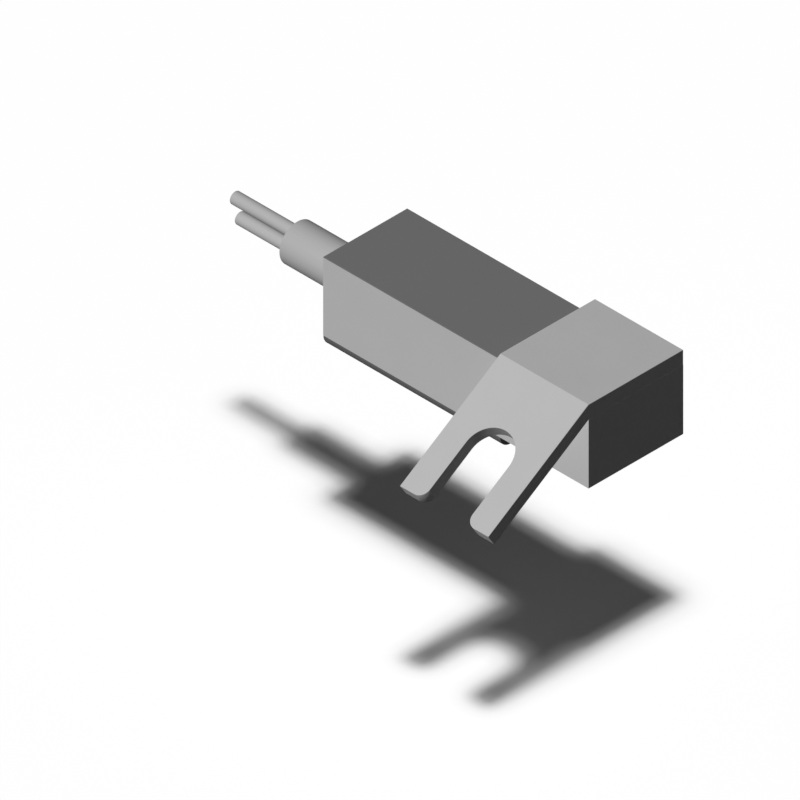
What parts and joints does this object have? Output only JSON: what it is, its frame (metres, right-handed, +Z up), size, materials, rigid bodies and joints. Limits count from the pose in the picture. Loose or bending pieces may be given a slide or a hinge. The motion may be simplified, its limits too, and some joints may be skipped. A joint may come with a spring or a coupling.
{
  "type": "cylinder sensor",
  "caption": "Small box-shaped magnetic sensor with a rounded sensing foot, a sloping forked clamp bracket and a short two-core cable stub.",
  "frame": {"origin": "centre of the sensing foot's flat underside", "axes": "+X along the body from the cable to the bracket, +Z up out of the cover, -Y the side that the fork leans to"},
  "size_m": [0.0445, 0.0221, 0.0094],
  "materials": {
    "light_plastic": "matt moulded light grey plastic",
    "dark_plastic": "matt moulded dark grey plastic",
    "cast_metal": "cast metal with a matt light grey coat",
    "jacket_rubber": "matt light grey cable jacket",
    "core_plastic": "matt light grey core insulation",
    "copper": "bare copper",
    "spring_steel": "bright steel",
    "board_laminate": "green coated laminate",
    "reed_tube": "green tinted clear glass",
    "ceramic": "dark ceramic",
    "solder": "bright solder",
    "resin": "black casting resin"
  },
  "bodies": {
    "root": {"sensing_foot": "dark_plastic", "housing": "light_plastic", "cover": "dark_plastic", "fork_bracket": "cast_metal", "cable_jacket": "jacket_rubber", "core_1_insulation": "core_plastic", "core_2_insulation": "core_plastic", "core_1_wire": "copper", "core_2_wire": "copper", "cable_clip": "spring_steel", "circuit_board": "board_laminate", "track_feed": "copper", "track_near": "copper", "track_far": "copper", "reed_glass": "reed_tube", "reed_blade_near": "spring_steel", "reed_blade_far": "spring_steel", "series_resistor": "ceramic", "surge_diode": "ceramic", "solder_core_1": "solder", "solder_core_2": "solder", "solder_reed_near": "solder", "solder_reed_far": "solder", "casting_resin": "resin"}
  },
  "joints": []
}
